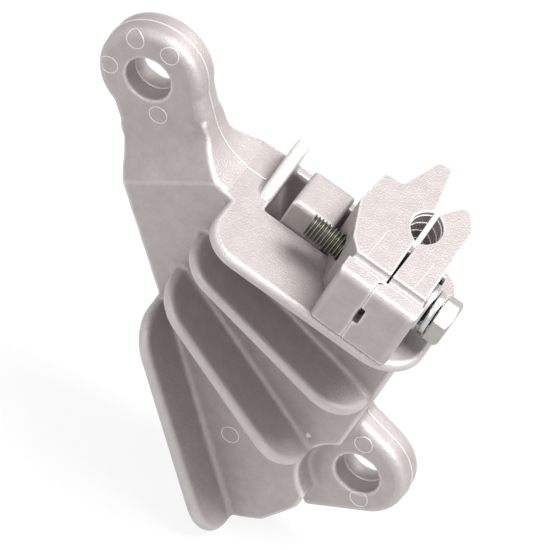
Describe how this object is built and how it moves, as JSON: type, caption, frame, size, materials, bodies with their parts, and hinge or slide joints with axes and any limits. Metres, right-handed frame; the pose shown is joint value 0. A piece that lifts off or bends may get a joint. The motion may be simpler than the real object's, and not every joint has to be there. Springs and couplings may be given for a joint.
{
  "type": "wedge tension clamp",
  "caption": "Cast wedge dead-end clamp: ribbed housing with two pin eyes, two-part bolted wedge core and a locking wedge.",
  "frame": {"origin": "where the conductor's axis crosses the mouth face of the housing", "axes": "+Z along the conductor out of the mouth, +X along the core's bolt towards its head, +Y from the ribbed front to the back, along the eye pins"},
  "size_m": [0.1871, 0.0783, 0.1773],
  "materials": {
    "cast_body": "satin as cast",
    "cast_core": "satin as cast",
    "cast_key": "satin as cast",
    "bolt_steel": "dull zinc coat",
    "zinc_washer": "bright zinc coat"
  },
  "bodies": {
    "housing": {"clamp_body": "cast_body"},
    "left_half": {"wedge_half_left": "cast_core"},
    "right_half": {"wedge_half_right": "cast_core", "flat_washer": "zinc_washer", "spring_washer": "zinc_washer"},
    "bolt": {"clamp_bolt": "bolt_steel"},
    "key": {"locking_wedge": "cast_key"}
  },
  "joints": [
    {"name": "core_travel", "type": "slide", "parent": "housing", "child": "left_half", "axis": [0, 0, 1], "range_m": [0, 0.045]},
    {"name": "jaw_opening", "type": "slide", "parent": "left_half", "child": "right_half", "axis": [1, 0, 0], "range_m": [0, 0.004]},
    {"name": "bolt_turn", "type": "hinge", "parent": "right_half", "child": "bolt", "pos_m": [0.0277, -0.0205, 0.014], "axis": [1, 0, 0], "range_deg": [0, 960]},
    {"name": "key_travel", "type": "slide", "parent": "housing", "child": "key", "axis": [0, 0, 1], "range_m": [0, 0.045]}
  ],
  "couplings": [
    {"joint": "bolt_turn", "follows": "jaw_opening", "rad_per_m": 4188.8}
  ]
}
